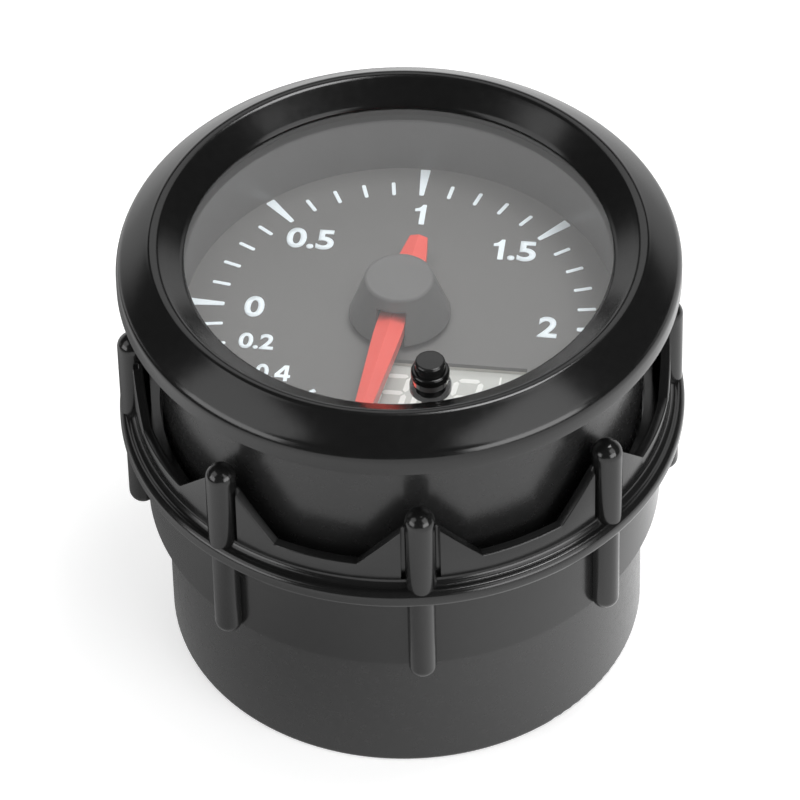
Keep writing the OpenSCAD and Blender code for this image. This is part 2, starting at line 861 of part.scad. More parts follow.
module motor_base() {
    color([0.75, 0.75, 0.72]) difference() {
        union() {
            translate([0, 0, motor_z]) linear_extrude(height = base_t)
                polygon(motor_outline(0));
            for (p = [[0, 0], idler_p, rotor_p]) hole(p, floor_z - over, bearing_h + over,
                axle_r + motor_wall);
            for (p = pad_points) hole(p, floor_z - over, stator_lift + over, pad_r);
        }
        hole([0, 0], floor_z - bearing_h - run, base_t + over, shaft_r + run);
        for (p = [idler_p, rotor_p])
            hole(p, floor_z - run, bearing_h + over, axle_r + run);
    }
}

module motor_cover() {
    color([0.3, 0.3, 0.3]) difference() {
        translate([0, 0, floor_z]) linear_extrude(height = motor_top_z - floor_z)
            polygon(motor_outline(0));
        translate([0, 0, floor_z - over]) linear_extrude(height = roof_z - floor_z + over)
            polygon(motor_outline(motor_wall));
        hole([0, 0], roof_z - over, roof_t + 2 * over, shaft_r + run);
        for (p = [idler_p, rotor_p]) hole(p, roof_z - over, bearing_h + over, axle_r + run);
        at_terminals() hole([0, 0], roof_z - over, roof_t + 2 * over, terminal_r + run);
    }
}

// Laminated core: a ring round the magnet, two arms through the coils and a yoke
module motor_stator() {
    color([0.55, 0.56, 0.58]) difference() {
        union() {
            hole(rotor_p, stator_z, stator_t, stator_ring_r);
            for (a = arm_angles) translate([rotor_p.x, rotor_p.y, stator_z]) rotate(a)
                translate([0, -arm_w / 2, 0]) cube([arm_l, arm_w, stator_t]);
            translate([yoke_p.x, yoke_p.y, stator_z]) cube([yoke_l, yoke_w, stator_t]);
        }
        hole(rotor_p, stator_z - over, stator_t + 2 * over, stator_bore_r);
    }
}

module motor_coils() {
    color([0.75, 0.4, 0.2]) for (a = arm_angles)
        translate([rotor_p.x, rotor_p.y, stator_z + stator_t / 2]) rotate(a)
            translate([coil_from, 0, 0]) difference() {
                rotate([0, 90, 0]) cylinder(r = coil_r, h = coil_l);
                translate([-over, -arm_w / 2 - fit, -stator_t / 2 - fit])
                    cube([coil_l + 2 * over, arm_w + 2 * fit, stator_t + 2 * fit]);
            }
}

module motor_pins() {
    color([0.8, 0.75, 0.5]) at_terminals()
        hole([0, 0], roof_z, board_top_z - roof_z + terminal_up, terminal_r);
}

// Magnet, first pinion and axle
module motor_rotor() {
    color([0.25, 0.22, 0.2]) translate([rotor_p.x, rotor_p.y, 0]) {
        hole([0, 0], magnet_z, magnet_h, magnet_r);
        gear(pinion_teeth, magnet_z + magnet_h, rotor_pinion_top_z - magnet_z - magnet_h,
            rotor_dir + 180 + 180 / pinion_teeth);
        hole([0, 0], floor_z, roof_z - floor_z + bearing_h - fit, axle_r);
    }
}

// Middle wheel: driven by the rotor's pinion, with a pinion that drives the output wheel
module idler_wheel() {
    color([0.9, 0.88, 0.8]) translate([idler_p.x, idler_p.y, 0]) {
        gear(idler_teeth, idler_z, wheel_t, rotor_dir);
        gear(pinion_teeth, idler_z + wheel_t, idler_pinion_top_z - idler_z - wheel_t,
            idler_dir + 180 + 180 / pinion_teeth);
        hole([0, 0], floor_z, roof_z - floor_z + bearing_h - fit, axle_r);
    }
}

module main_board() {
    color([0.05, 0.3, 0.15]) difference() {
        translate([0, 0, board_z]) cylinder(r = board_r, h = board_t);
        hole([0, 0], board_z - over, board_t + 2 * over, shaft_hole_r);
        at_terminals() hole([0, 0], board_z - over, board_t + 2 * over, terminal_r + fit);
        at_posts() hole([0, 0], board_z - over, board_t + 2 * over, screw_r + fit);
    }
}

module connector_board() {
    color([0.05, 0.3, 0.15]) difference() {
        translate([-link_board_w / 2, -link_board_d, link_board_z])
            cube([link_board_w, link_board_d, board_t]);
        at_link_posts() hole([0, 0], link_board_z - over, board_t + 2 * over, screw_r + fit);
        for (s = [[power_p, power_ways], [sensor_p, sensor_ways]]) at_pins(s[0], s[1])
            block([0, 0], link_board_z - over,
                [pin_w + 2 * run, pin_w + 2 * run, board_t + 2 * over]);
    }
}

module screw(seat_z) {
    hole([0, 0], seat_z, head_h, head_r);
    hole([0, 0], seat_z + run - screw_l, screw_l, screw_r);
}

module board_screws() {
    color([0.6, 0.6, 0.62]) at_posts() screw(board_top_z);
}

module link_screws() {
    color([0.6, 0.6, 0.62]) at_link_posts() screw(link_top_z);
}

// Flat cable between the boards, bowed towards the wall
module ribbon_cable() {
    low_z = link_top_z + header_size.z;
    high_z = board_z - header_size.z;
    half = (high_z - low_z) / 2;
    bend_r = (half * half + ribbon_bow * ribbon_bow) / (2 * ribbon_bow);
    color([0.7, 0.7, 0.72]) translate([header_p.x - ribbon_w / 2, header_p.y, low_z + half])
        rotate([90, 0, 90]) linear_extrude(height = ribbon_w) intersection() {
            translate([bend_r - ribbon_bow, 0]) difference() {
                circle(r = bend_r + ribbon_t / 2);
                circle(r = bend_r - ribbon_t / 2);
            }
            translate([-header_size.y - ribbon_bow, -half])
                square([2 * header_size.y + ribbon_bow, 2 * half]);
        }
}

module ribbon_headers() {
    color([0.9, 0.88, 0.8]) {
        block(header_p, link_top_z, header_size);
        block(header_p, board_z - header_size.z, header_size);
    }
}

module microcontroller() {
    color([0.1, 0.1, 0.1]) block(controller_p, board_top_z, controller_size);
}

module driver_chip() {
    color([0.1, 0.1, 0.1]) block(driver_p, board_top_z, driver_size);
}

module timing_crystal() {
    color([0.75, 0.75, 0.75]) block(crystal_p, board_top_z, crystal_size);
}

module dial_leds() {
    color([1, 0.95, 0.7]) for (i = [0 : led_count - 1])
        rotate(led_from_a + i * led_step_a) block([led_reach, 0], board_top_z, led_size);
}

module voltage_regulator() {
    color([0.12, 0.12, 0.12]) block(regulator_p, link_top_z, regulator_size);
}

module smoothing_capacitor() {
    color([0.7, 0.72, 0.75]) hole(capacitor_p, link_top_z, capacitor_h, capacitor_r);
}

module at_pins(place, ways) {
    for (i = [0 : ways - 1])
        translate([place.x + (i - (ways - 1) / 2) * pin_pitch, place.y, 0]) children();
}

// Socket body: a cavity open to the rear, a key slot, and holes for the pins
module socket(place, ways) {
    outer = socket_outer(ways);
    mouth_z = socket_inset;
    difference() {
        block(place, mouth_z, [outer.x, outer.y, socket_h]);
        block(place, mouth_z - over,
            [socket_inner_w(ways), socket_inner_d, socket_h - socket_back + over]);
        block(place + [0, -outer.y / 2], mouth_z - over, [key_w, 2 * socket_wall, socket_depth]);
        at_pins(place, ways) block([0, 0], mouth_z,
            [pin_w + 2 * run, pin_w + 2 * run, socket_h + over]);
    }
}

module socket_pins(place, ways) {
    pin_z = socket_inset + socket_depth;
    at_pins(place, ways)
        block([0, 0], pin_z, [pin_w, pin_w, link_top_z + pin_tail - pin_z]);
}

module power_socket() {
    color([0.9, 0.9, 0.86]) socket(power_p, power_ways);
}

module power_pins() {
    color([0.85, 0.75, 0.4]) socket_pins(power_p, power_ways);
}

module sensor_socket() {
    color([0.9, 0.9, 0.86]) socket(sensor_p, sensor_ways);
}

module sensor_pins() {
    color([0.85, 0.75, 0.4]) socket_pins(sensor_p, sensor_ways);
}

housing();
bezel();
lens();
lens_gasket();
dial_surround();
clamp_ring();
dial_plate();
scale_marks();
light_guide();
needle();
needle_hub();
output_wheel();
lcd_frame();
lcd_front_glass();
lcd_rear_glass();
lcd_backlight();
lcd_contact_strips();
mode_button();
button_guide();
switch_body();
switch_actuator();
motor_base();
motor_cover();
motor_stator();
motor_coils();
motor_pins();
motor_rotor();
idler_wheel();
main_board();
connector_board();
board_screws();
link_screws();
ribbon_cable();
ribbon_headers();
microcontroller();
driver_chip();
timing_crystal();
dial_leds();
voltage_regulator();
smoothing_capacitor();
power_socket();
power_pins();
sensor_socket();
sensor_pins();
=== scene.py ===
import math

import bmesh
import bpy
from mathutils import Matrix, Vector


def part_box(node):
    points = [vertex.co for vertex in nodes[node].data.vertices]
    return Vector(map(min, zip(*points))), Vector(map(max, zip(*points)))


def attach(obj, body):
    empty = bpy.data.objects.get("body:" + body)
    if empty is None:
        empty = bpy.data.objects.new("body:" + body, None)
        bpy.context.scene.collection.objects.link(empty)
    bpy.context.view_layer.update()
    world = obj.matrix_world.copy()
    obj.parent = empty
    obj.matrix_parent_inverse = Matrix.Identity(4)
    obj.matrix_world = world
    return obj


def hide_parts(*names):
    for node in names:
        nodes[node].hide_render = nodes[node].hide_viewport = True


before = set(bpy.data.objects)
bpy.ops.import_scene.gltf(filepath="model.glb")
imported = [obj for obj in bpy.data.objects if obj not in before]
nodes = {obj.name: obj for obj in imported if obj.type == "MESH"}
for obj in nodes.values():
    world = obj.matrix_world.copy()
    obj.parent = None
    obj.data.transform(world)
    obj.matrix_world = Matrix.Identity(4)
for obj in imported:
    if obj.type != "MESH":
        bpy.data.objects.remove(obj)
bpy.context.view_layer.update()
MM = 0.001

# Camera, at the photograph's angle. Lengths in mm, angles in degrees.
cam_turn = math.radians(8.03)
cam_tilt = math.radians(44.98)
cam_roll = math.radians(1.438)
cam_reach = 709.3
cam_offset = (0.246, -3.245)
cam_aim = Vector((0, 0, 25))
across = Vector((math.cos(cam_turn), math.sin(cam_turn), 0))
away = Vector((-math.sin(cam_turn), math.cos(cam_turn), 0))
back = -away * math.cos(cam_tilt) + Vector((0, 0, math.sin(cam_tilt)))
upward = back.cross(across)
place = (cam_aim + back * cam_reach - across * cam_offset[0] - upward * cam_offset[1]) * MM
side = across * math.cos(cam_roll) - upward * math.sin(cam_roll)
top = upward * math.cos(cam_roll) + across * math.sin(cam_roll)

camera_data = bpy.data.cameras.new("camera")
camera_data.lens = 293.0
camera_data.sensor_width = 36
camera_data.clip_start = 0.05
camera_data.clip_end = 10
camera = bpy.data.objects.new("camera", camera_data)
bpy.context.scene.collection.objects.link(camera)
camera.matrix_world = Matrix(((side.x, top.x, back.x, place.x), (side.y, top.y, back.y, place.y),
                              (side.z, top.z, back.z, place.z), (0, 0, 0, 1)))
bpy.context.scene.camera = camera
bpy.context.scene.view_settings.view_transform = "Standard"


# Lights: soft boxes round the object. Turns are angles in the frame, tilts are heights above the floor.
lamp_aim = Vector((0, 0, 0.04))


def soft_box(name, turn, tilt, reach, width, height, level):
    a = math.radians(turn)
    t = math.radians(tilt)
    way = Vector((math.cos(a) * math.cos(t), math.sin(a) * math.cos(t), math.sin(t)))
    data = bpy.data.lights.new(name, "AREA")
    data.shape = "RECTANGLE"
    data.size = width
    data.size_y = height
    data.energy = level * math.pi * width * height
    lamp = bpy.data.objects.new(name, data)
    bpy.context.scene.collection.objects.link(lamp)
    lamp.location = lamp_aim + way * reach
    lamp.rotation_euler = way.to_track_quat("Z", "Y").to_euler()
    lamp.visible_camera = False
    return lamp


lamps = [
    soft_box("left_low", -145, 12, 0.8, 0.58, 0.34, 3.2),
    soft_box("left_high", -153, 40, 0.8, 0.5, 0.46, 1.5),
    soft_box("right_low", -38, 12, 0.8, 0.6, 0.34, 4.8),
    soft_box("right_high", -29, 41, 0.8, 0.5, 0.5, 2.0),
    soft_box("overhead", 28, 73, 0.8, 0.32, 0.27, 9.5)
]
soft_box("behind", 98, 47, 0.9, 0.9, 0.42, 1.1)
# The flat window doesn't glare in the lamps, so that the dial can be read from every side
no_glare = bpy.data.collections.new("no_glare")
no_glare.objects.link(nodes["lens"])
no_glare.collection_objects[0].light_linking.link_state = "EXCLUDE"
for lamp in lamps:
    lamp.light_linking.receiver_collection = no_glare

# World: a white backdrop behind the object and a dim room elsewhere, even light for matt surfaces,
# and white wherever the camera looks
backdrop_top = 0.29
world = bpy.data.worlds.new("studio")
bpy.context.scene.world = world
world.use_nodes = True
tree = world.node_tree
tree.nodes.clear()
coords = tree.nodes.new("ShaderNodeTexCoord")
split = tree.nodes.new("ShaderNodeSeparateXYZ")
facing = tree.nodes.new("ShaderNodeVectorMath")
facing.operation = "DOT_PRODUCT"
facing.inputs[1].default_value = away
sides = tree.nodes.new("ShaderNodeMapRange")
sides.interpolation_type = "SMOOTHSTEP"
sides.inputs["From Min"].default_value = 0.45
sides.inputs["From Max"].default_value = 0.75
height = tree.nodes.new("ShaderNodeMapRange")
height.interpolation_type = "SMOOTHSTEP"
height.inputs["From Min"].default_value = backdrop_top + 0.05
height.inputs["From Max"].default_value = backdrop_top - 0.05
pick = tree.nodes.new("ShaderNodeMath")
pick.operation = "MULTIPLY"
gloss = tree.nodes.new("ShaderNodeMapRange")
gloss.inputs["To Min"].default_value = 0.05
gloss.inputs["To Max"].default_value = 1.1
seen = tree.nodes.new("ShaderNodeBackground")
even = tree.nodes.new("ShaderNodeBackground")
even.inputs["Color"].default_value = (1, 1, 1, 1)
even.inputs["Strength"].default_value = 0.36
white = tree.nodes.new("ShaderNodeBackground")
white.inputs["Color"].default_value = (1, 1, 1, 1)
path = tree.nodes.new("ShaderNodeLightPath")
matt = tree.nodes.new("ShaderNodeMixShader")
mix = tree.nodes.new("ShaderNodeMixShader")
out = tree.nodes.new("ShaderNodeOutputWorld")
link = tree.links.new
link(coords.outputs["Generated"], split.inputs[0])
link(coords.outputs["Generated"], facing.inputs[0])
link(facing.outputs["Value"], sides.inputs["Value"])
link(split.outputs["Z"], height.inputs["Value"])
link(sides.outputs["Result"], pick.inputs[0])
link(height.outputs["Result"], pick.inputs[1])
link(pick.outputs[0], gloss.inputs["Value"])
link(gloss.outputs["Result"], seen.inputs["Strength"])
link(path.outputs["Is Diffuse Ray"], matt.inputs[0])
link(seen.outputs[0], matt.inputs[1])
link(even.outputs[0], matt.inputs[2])
link(path.outputs["Is Camera Ray"], mix.inputs[0])
link(matt.outputs[0], mix.inputs[1])
link(white.outputs[0], mix.inputs[2])
link(mix.outputs[0], out.inputs["Surface"])


# Materials. Sizes of grain and of softened edges in mm.
sheen_range = 0.25
broad_share = 14


def material(name):
    made = bpy.data.materials.new(name)
    made.use_nodes = True
    made.node_tree.nodes.clear()
    return made, made.node_tree


# A moulded or metal surface: fine grain as bump, broad mottle in colour and roughness, softened edges
def shade(name, colour, rough, grain=0.4, bump=0.15, mottle=0.06, edge=0.12, metal=0.0, ior=1.5,
          coat=0.0, through=0.0, spread=0.0, clear_shadow=False, upper=None):
    made, tree = material(name)
    new = tree.nodes.new
    link = tree.links.new
    body = new("ShaderNodeBsdfPrincipled")
    body.inputs["Metallic"].default_value = metal
    body.inputs["IOR"].default_value = ior
    body.inputs["Coat Weight"].default_value = coat
    body.inputs["Coat Roughness"].default_value = 0.1
    body.inputs["Transmission Weight"].default_value = through
    if spread:
        body.inputs["Subsurface Weight"].default_value = spread
        body.inputs["Subsurface Radius"].default_value = (0.0012, 0.0006, 0.0005)
        body.inputs["Subsurface Scale"].default_value = 1.0
    place = new("ShaderNodeTexCoord")
    fine = new("ShaderNodeTexNoise")
    fine.inputs["Scale"].default_value = 1000 / grain
    fine.inputs["Detail"].default_value = 3
    broad = new("ShaderNodeTexNoise")
    broad.inputs["Scale"].default_value = 1000 / (grain * broad_share)
    broad.inputs["Detail"].default_value = 4
    link(place.outputs["Object"], fine.inputs["Vector"])
    link(place.outputs["Object"], broad.inputs["Vector"])
    tint = new("ShaderNodeValToRGB")
    dark = [c * (1 - mottle) for c in colour]
    pale = [min(1, c * (1 + mottle)) for c in colour]
    tint.color_ramp.elements[0].position = 0.3
    tint.color_ramp.elements[0].color = (*dark, 1)
    tint.color_ramp.elements[1].position = 0.7
    tint.color_ramp.elements[1].color = (*pale, 1)
    link(broad.outputs["Fac"], tint.inputs["Fac"])
    if upper:
        # Another colour above a height in mm
        level = new("ShaderNodeSeparateXYZ")
        above = new("ShaderNodeMapRange")
        above.inputs["From Min"].default_value = (upper[0] - 0.1) * MM
        above.inputs["From Max"].default_value = (upper[0] + 0.1) * MM
        both = new("ShaderNodeMix")
        both.data_type = "RGBA"
        both.inputs["B"].default_value = (*upper[1], 1)
        link(place.outputs["Object"], level.inputs[0])
        link(level.outputs["Z"], above.inputs["Value"])
        link(above.outputs["Result"], both.inputs["Factor"])
        link(tint.outputs["Color"], both.inputs["A"])
        link(both.outputs["Result"], body.inputs["Base Color"])
    else:
        link(tint.outputs["Color"], body.inputs["Base Color"])
    sheen = new("ShaderNodeMapRange")
    sheen.inputs["To Min"].default_value = rough * (1 - sheen_range)
    sheen.inputs["To Max"].default_value = min(1, rough * (1 + sheen_range))
    link(broad.outputs["Fac"], sheen.inputs["Value"])
    link(sheen.outputs["Result"], body.inputs["Roughness"])
    bumps = new("ShaderNodeBump")
    bumps.inputs["Strength"].default_value = bump
    bumps.inputs["Distance"].default_value = grain * MM * 0.25
    link(fine.outputs["Fac"], bumps.inputs["Height"])
    if edge:
        soft = new("ShaderNodeBevel")
        soft.samples = 4
        soft.inputs["Radius"].default_value = edge * MM
        link(soft.outputs["Normal"], bumps.inputs["Normal"])
    link(bumps.outputs["Normal"], body.inputs["Normal"])
    end = new("ShaderNodeOutputMaterial")
    if clear_shadow:
        path = new("ShaderNodeLightPath")
        see = new("ShaderNodeBsdfTransparent")
        mix = new("ShaderNodeMixShader")
        link(path.outputs["Is Shadow Ray"], mix.inputs[0])
        link(body.outputs[0], mix.inputs[1])
        link(see.outputs[0], mix.inputs[2])
        link(mix.outputs[0], end.inputs["Surface"])
    else:
        link(body.outputs[0], end.inputs["Surface"])
    return made


finishes = {
    "bezel": shade("bezel_black", (0.006, 0.006, 0.006), 0.17, grain=0.07, bump=0.12, edge=0),
    "housing": shade("housing_black", (0.016, 0.016, 0.016), 0.26, grain=0.07, bump=0.12, edge=0.12),
    "ring": shade("ring_black", (0.008, 0.008, 0.008), 0.17, grain=0.07, bump=0.12, edge=0),
    "clear": shade("lens_clear", (1, 1, 1), 0.01, grain=2, bump=0.0, mottle=0.0, edge=0, ior=1.49,
                   through=1.0, clear_shadow=True),
    "rubber": shade("gasket_rubber", (0.045, 0.045, 0.045), 0.5, grain=0.15, bump=0.3),
    "surround": shade("surround_black", (0.09, 0.09, 0.09), 0.4, grain=0.2, bump=0.2,
                      upper=(48.3, (0.045, 0.045, 0.045))),
    "dial": shade("dial_grey", (0.105, 0.104, 0.101), 0.5, grain=0.05, bump=0.1, mottle=0.03, edge=0),
    "marks": shade("mark_white", (0.87, 0.95, 1.0), 0.4, grain=0.1, bump=0.1, mottle=0.02, edge=0),
    "white": shade("guide_white", (0.8, 0.8, 0.78), 0.45),
    "red": shade("pointer_red", (0.64, 0.075, 0.055), 0.36, grain=0.3, bump=0.05, mottle=0.03, edge=0.08,
                 spread=0.1),
    "hub": shade("hub_grey", (0.086, 0.086, 0.085), 0.36, grain=0.06, bump=0.12, edge=0.3),
    "guide_black": shade("button_guide_black", (0.006, 0.006, 0.006), 0.15, grain=0.1, bump=0.05, edge=0),
    "button": shade("button_black", (0.01, 0.01, 0.01), 0.2, grain=0.1, bump=0.06, edge=0),
    "ivory": shade("frame_ivory", (0.55, 0.54, 0.5), 0.5),
    "display": shade("display_grey", (0.47, 0.48, 0.455), 0.2, grain=0.3, bump=0.05, mottle=0.03, coat=0.3),
    "segment": shade("segment_pale", (0.78, 0.79, 0.76), 0.3, grain=0.3, bump=0.05, mottle=0.02, edge=0),
    "glass": shade("display_glass", (0.72, 0.76, 0.74), 0.05, grain=2, bump=0.0),
    "strip": shade("contact_strip", (0.7, 0.3, 0.34), 0.6),
    "switch": shade("switch_red", (0.5, 0.06, 0.05), 0.45),
    "steel": shade("steel", (0.6, 0.6, 0.6), 0.28, metal=1.0, grain=0.1),
    "copper": shade("copper_wire", (0.72, 0.31, 0.14), 0.3, metal=1.0, grain=0.15, bump=0.5),
    "pins": shade("tinned_pins", (0.75, 0.73, 0.68), 0.25, metal=1.0, grain=0.1),
    "magnet": shade("magnet_dark", (0.05, 0.05, 0.055), 0.45, grain=0.15, bump=0.5),
    "board": shade("board_green", (0.02, 0.14, 0.06), 0.3, grain=0.5, mottle=0.3, coat=0.3),
    "chip": shade("chip_black", (0.02, 0.02, 0.022), 0.5, grain=0.1, bump=0.4),
    "can": shade("can_silver", (0.65, 0.66, 0.68), 0.3, metal=1.0, grain=0.2),
    "lamp": shade("lamp_yellow", (0.8, 0.72, 0.4), 0.35),
    "cable": shade("cable_grey", (0.35, 0.36, 0.38), 0.5, grain=0.3, bump=0.4),
    "motor": shade("motor_black", (0.03, 0.03, 0.032), 0.45, grain=0.2, bump=0.4),
    "gear": shade("gear_white", (0.75, 0.74, 0.7), 0.4),
    "socket": shade("socket_ivory", (0.62, 0.6, 0.53), 0.5),
}

node_finish = {
    "bezel": "bezel", "lens": "clear", "lens_gasket": "rubber", "dial_surround": "surround",
    "dial_plate": "dial", "scale_marks": "marks", "needle": "red", "needle_hub": "hub",
    "lcd_front_glass": "display", "lcd_rear_glass": "glass", "lcd_frame": "ivory", "lcd_backlight": "white",
    "lcd_contact_strips": "strip", "light_guide": "white", "mode_button": "button",
    "button_guide": "guide_black", "switch_body": "switch", "switch_actuator": "switch",
    "housing": "housing", "clamp_ring": "ring", "main_board": "board", "connector_board": "board",
    "ribbon_cable": "cable", "ribbon_headers": "chip", "board_screws": "steel", "motor_base": "motor",
    "motor_cover": "motor", "motor_stator": "steel", "motor_coils": "copper", "motor_rotor": "magnet",
    "idler_wheel": "gear", "output_wheel": "gear", "motor_pins": "pins", "microcontroller": "chip",
    "driver_chip": "chip", "timing_crystal": "can", "dial_leds": "lamp", "voltage_regulator": "chip",
    "smoothing_capacitor": "can", "power_socket": "socket", "power_pins": "pins",
    "sensor_socket": "socket", "sensor_pins": "pins", "link_screws": "steel",
}
for name, made in nodes.items():
    made.data.materials.clear()
    made.data.materials.append(finishes[node_finish.get(name, "chip")])


# Pieces drawn as flat prints and thin plates
def add_piece(name, mesh, body, finish):
    made = bpy.data.objects.new(name, mesh)
    bpy.context.scene.collection.objects.link(made)
    made.data.materials.append(finishes[finish])
    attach(made, body)
    return made


def plate(bm, outline, low, high):
    base = [bm.verts.new((x * MM, y * MM, low * MM)) for x, y in outline]
    face = bm.faces.new(base)
    if face.normal.z > 0:
        face.normal_flip()
    lid = [bm.verts.new((x * MM, y * MM, high * MM)) for x, y in outline]
    bm.faces.new(lid)
    for i, corner in enumerate(base):
        j = (i + 1) % len(base)
        bm.faces.new((corner, base[j], lid[j], lid[i]))


def mesh_from(name, bm):
    bmesh.ops.recalc_face_normals(bm, faces=bm.faces[:])
    mesh = bpy.data.meshes.new(name)
    bm.to_mesh(mesh)
    bm.free()
    return mesh


# Turned pieces: an outline of (reach, height) points swept round an upright axis. An outline may change
# with the angle, as long as its number of points stays the same.
def swept(bm, angles, outline, centre=(0, 0), closed=True):
    rings = []
    for a in angles:
        c = math.cos(a)
        s = math.sin(a)
        points = outline(a) if callable(outline) else outline
        rings.append([bm.verts.new(((centre[0] + r * c) * MM, (centre[1] + r * s) * MM, z * MM))
                      for r, z in points])
    count = len(rings[0])
    for ring, after in zip(rings, rings[1:] + rings[:1]):
        for k in range(count if closed else count - 1):
            j = (k + 1) % count
            bm.faces.new((ring[k], after[k], after[j], ring[j]))
    if not closed:
        bm.faces.new([ring[0] for ring in rings])
        bm.faces.new([ring[-1] for ring in rings])


def even_turn(steps):
    return [2 * math.pi * k / steps for k in range(steps)]


# Points along an arc; angles in degrees, 0 outward and 90 up
def arc(reach, level, r, start, stop, steps=8):
    turns = [math.radians(start + (stop - start) * k / steps) for k in range(steps + 1)]
    return [(reach + r * math.cos(t), level + r * math.sin(t)) for t in turns]


def smooth(mesh, sharp=35):
    mesh.polygons.foreach_set("use_smooth", [True] * len(mesh.polygons))
    mesh.set_sharp_from_angle(angle=math.radians(sharp))
    return mesh


# Bezel: band, rounded shoulder, curved front, rounded crest and inner cone
bezel_r = 30.1
bezel_bore = 26.1
bezel_edge = 0.15
bezel_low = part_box("bezel")[0].z / MM
lens_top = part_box("lens")[1].z / MM
crest = Vector((26.0, 54.05))
shoulder = Vector((28.3, 50.2))
shoulder_r = 1.8
shoulder_a = 50
crest_r = 1.1
opening = Vector((22.8, 51.8))
opening_break = 0.03
leave = Vector((math.cos(math.radians(shoulder_a)), math.sin(math.radians(shoulder_a))))
shoulder_end = shoulder + leave * shoulder_r
chord = crest - shoulder_end
front_r = -chord.dot(chord) / (2 * chord.dot(leave))
front = shoulder_end - leave * front_r
inward = (opening - crest).normalized()
outward = Vector((crest.y - front.y, front.x - crest.x)).normalized()
middle = (inward + outward).normalized()
half = inward.angle(middle)
crest_mid = crest + middle * crest_r / math.sin(half)
crest_cut = crest_r / math.tan(half)
front_end = crest + outward * crest_cut


def bearing(centre, point):
    return math.degrees(math.atan2(point.y - centre.y, point.x - centre.x))


profile = [(bezel_bore, bezel_low), (bezel_r - bezel_edge, bezel_low)]
profile += arc(bezel_r - bezel_edge, bezel_low + bezel_edge, bezel_edge, -90, 0, 4)[1:]
profile += arc(shoulder.x, shoulder.y, shoulder_r, 0, shoulder_a, 14)
profile += arc(front.x, front.y, front_r, shoulder_a, bearing(front, front_end), 14)[1:]
profile += arc(crest_mid.x, crest_mid.y, crest_r, bearing(crest_mid, front_end),
               bearing(crest_mid, crest + inward * crest_cut), 16)[1:]
cone_start = Vector(profile[-1])
profile += [tuple(cone_start.lerp(opening, k / 6)) for k in range(1, 6)]
profile += [(opening.x + opening_break, opening.y + opening_break), (opening.x, opening.y - opening_break),
            (opening.x, lens_top), (bezel_bore, lens_top)]
bm = bmesh.new()
swept(bm, even_turn(288), profile)
bezel = add_piece("bezel_ring", smooth(mesh_from("bezel_ring", bm)), "gauge", "bezel")
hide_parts("bezel")

# Mode button, with a flat top, and the collar that it slides in
button_mid = (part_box("mode_button")[0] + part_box("mode_button")[1]) / 2 / MM
button_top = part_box("mode_button")[1].z / MM
button_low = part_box("mode_button")[0].z / MM
guide_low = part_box("button_guide")[0].z / MM
guide_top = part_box("button_guide")[1].z / MM
button_r = 1.6
button_edge = 0.3
stem_r = 1.0
foot_r = 2.2
foot_t = 0.7
foot_top = guide_low - 0.1
guide_bore = 1.65
guide_r = 1.85
collar_r = 2.03
collar_edge = 0.28
profile = [(stem_r, button_low), (stem_r, foot_top - foot_t), (foot_r, foot_top - foot_t),
           (foot_r, foot_top), (button_r, foot_top), (button_r, foot_top + 1.5)]
profile += arc(button_r - button_edge, button_top - button_edge, button_edge, 0, 90, 8)
bm = bmesh.new()
swept(bm, even_turn(96), profile, (button_mid.x, button_mid.y), closed=False)
button = add_piece("button_cap", smooth(mesh_from("button_cap", bm)), "button", "button")
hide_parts("mode_button")
profile = [(guide_bore, guide_low), (guide_r, guide_low), (guide_r, lens_top), (collar_r, lens_top)]
profile += arc(collar_r - collar_edge, guide_top - collar_edge, collar_edge, 0, 90, 6)
profile += [(guide_bore, guide_top)]
bm = bmesh.new()
swept(bm, even_turn(96), profile, (button_mid.x, button_mid.y))
collar = add_piece("button_collar", smooth(mesh_from("button_collar", bm)), "gauge",
                   "guide_black")
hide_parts("button_guide")

# Clamp ring: sleeve, rounded flange and a crown wall that rises to a gusset at each rib, with a groove
# in the wall beside each rib
rib_count = 8
rib_a = math.radians(11)
rib_turn = 2 * math.pi / rib_count
rib_low, rib_top = (corner.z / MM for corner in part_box("clamp_ring"))
rib_r = 1.65
rib_reach = 28.8
low_rib_r = 1.5
low_rib_reach = 28.65
ring_low = rib_low + 0.7
flange_low = ring_low + 11.2
crown_low = flange_low + 2.2
sleeve_bore = 26.25
sleeve_out = 28.0
sleeve_edge = 0.1
flange_round = 0.8
flange_mid = 30.6 - flange_round
wall_in = 27.9
wall_out = 29.0
wall_edge = 0.15
valley_z = crown_low + 2.9
peak_z = crown_low + 8.1
gusset_turn = math.radians(13.3)
groove_w = 0.45
groove_depth = 0.6
corner_turn = 0.0003
valley_half = wall_out * math.sin(rib_turn / 2 - gusset_turn)
peak_half = wall_out * math.sin(rib_turn / 2) - rib_r
groove_from = math.asin(rib_r / wall_out)
groove_to = math.asin((rib_r + groove_w) / wall_out)


def from_rib(a):
    return (a - rib_a + rib_turn / 2) % rib_turn - rib_turn / 2


